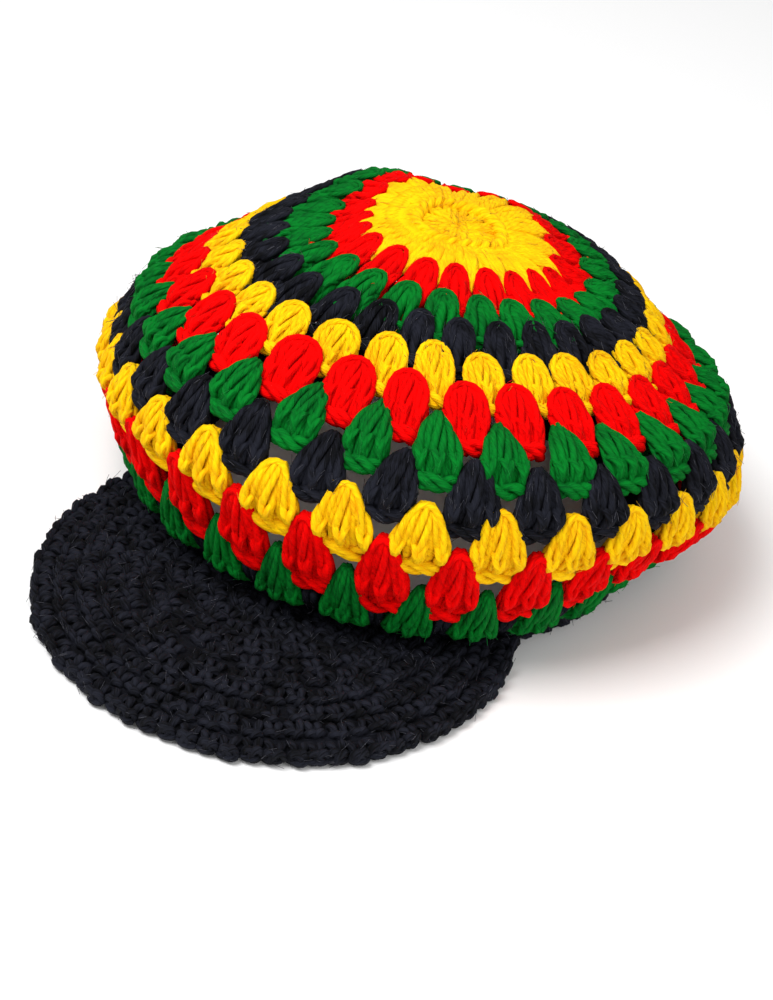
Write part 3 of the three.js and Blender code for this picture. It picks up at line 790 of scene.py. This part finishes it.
def peakSpots():
    spots, alongs = [], []
    seamRadius = band["foot"] + peak["seamOut"]
    for row in range(peak["rows"]):
        inset = row * peak["rowPitch"]
        a, b = peak["halfWidth"] - peak["sideEdge"] - inset, peak["reach"] - peak["frontEdge"] - inset
        turn = np.radians(np.linspace(-peak["sweep"], peak["sweep"], peak["sweepPoints"]))
        x, y = a * np.sin(turn) + peak["aside"], -b * np.cos(turn) - band["foot"]
        run = np.concatenate([[0], np.hypot(np.diff(x), np.diff(y)).cumsum()])
        # every other row starts half a stitch later
        places = np.arange(stitch["pitch"] * (0.5 if row % 2 else 1), run[-1], stitch["pitch"])
        x, y = np.interp(places, run, x), np.interp(places, run, y)
        keep = np.hypot(x, y) > seamRadius
        dx, dy = np.gradient(x), np.gradient(y)
        spots.append(np.stack([x, y], -1)[keep])
        alongs.append(unit(np.stack([dx, dy, np.zeros_like(dx)], -1))[keep])
    turn = np.radians(np.arange(*peak["seam"]))
    spots.append(np.stack([seamRadius * np.sin(turn), -seamRadius * np.cos(turn)], -1))
    alongs.append(np.stack([np.cos(turn), np.sin(turn), np.zeros_like(turn)], -1))
    return np.concatenate(spots), np.concatenate(alongs)


def peakStrands():
    spots, along = peakSpots()
    across = np.cross(along, [0, 0, 1.0])
    stray = np.linspace(*peak["stray"], len(spots))[:, None].clip(None, peak["strayMost"]) * mm
    spots = spots + dice.normal(0, 1, spots.shape) * stray
    strands = []
    for height, up, sides in peak["layers"]:
        z = peakHeight(spots[:, 0], spots[:, 1]) + height
        places = np.stack([spots[:, 0] + middle[0], spots[:, 1] + middle[1], z], -1)
        out = np.tile([[0, 0, up]], (len(places), 1))
        strands += plainStitches(places, along, across, out, 1.0, sides)
    return strands


yarnPiece("peakStitches", peakStrands(), colours["black"], ["peak"], fuzz["peak"])


def peakCore():
    bpy.ops.mesh.primitive_grid_add(x_subdivisions=peak["coreAcross"], y_subdivisions=peak["coreAlong"], size=1)
    core = bpy.context.object
    core.name = "peakCore"
    seat = band["foot"] + peak["coreSeat"]
    wide, deep = peak["halfWidth"] - peak["coreInset"], peak["reach"] - peak["coreInset"]
    for vertex in core.data.vertices:
        # the grid's side runs along the band, and its other way out to the rim
        across, along = 2 * (vertex.co.x + 0.5) - 1, vertex.co.y + 0.5
        turn, rimTurn = math.radians(peak["coreCorner"]) * across, math.radians(peak["coreSweep"]) * across
        inner = np.array([seat * math.sin(turn), -seat * math.cos(turn)])
        outer = np.array([wide * math.sin(rimTurn) + peak["aside"], -deep * math.cos(rimTurn) - band["foot"]])
        if np.hypot(*outer) < seat:
            outer *= seat / np.hypot(*outer)
        x, y = inner + (outer - inner) * along
        vertex.co = (x + middle[0], y + middle[1], peakHeight(x, y) + peak["coreHeight"])
    bpy.ops.object.modifier_add(type="SOLIDIFY")
    core.modifiers["Solidify"].thickness = peak["coreThickness"]
    core.modifiers["Solidify"].offset = 0
    bpy.ops.object.modifier_apply(modifier="Solidify")
    core.data.uv_layers[0].name = "alongYarn"
    core.data.materials.append(colours["black"])
    finishPiece(core, ["peak"])


peakCore()
print("peak made")


# Stage: a pale floor and soft lights

stage = {
    "floorColour": (0.9, 0.9, 0.9), "floorRoughness": 0.9, "floorSize": 6.0, "floorDrop": 0.5 * mm,
    "skyColour": (1, 1, 1), "skyStrength": 0.5,
    # name, place, watts, size
    "lights": [("keyLight", (-0.4, -0.7, 1.4), 26, 0.9), ("fillLight", (1.1, -0.6, 0.9), 8, 1.2)],
}


def addStage(settings):
    bpy.ops.mesh.primitive_plane_add(size=settings["floorSize"], location=(0, 0, -settings["floorDrop"]))
    floor = bpy.context.object
    floor.name = "floor"
    material = bpy.data.materials.new("paleFloor")
    material.use_nodes = True
    paint = material.node_tree.nodes["Principled BSDF"].inputs
    paint["Base Color"].default_value = (*settings["floorColour"], 1)
    paint["Roughness"].default_value = settings["floorRoughness"]
    floor.data.materials.append(material)
    world = bpy.data.worlds.new("studio")
    world.use_nodes = True
    sky = world.node_tree.nodes["Background"].inputs
    sky["Color"].default_value = (*settings["skyColour"], 1)
    sky["Strength"].default_value = settings["skyStrength"]
    bpy.context.scene.world = world
    bpy.context.scene.view_settings.view_transform = "Standard"
    for name, place, watts, size in settings["lights"]:
        bpy.ops.object.light_add(type="AREA", location=place)
        light = bpy.context.object
        light.name = name
        light.data.energy = watts
        light.data.size = size
        light.rotation_euler = (-Vector(place)).to_track_quat("-Z", "Y").to_euler()


addStage(stage)
print("stage set")
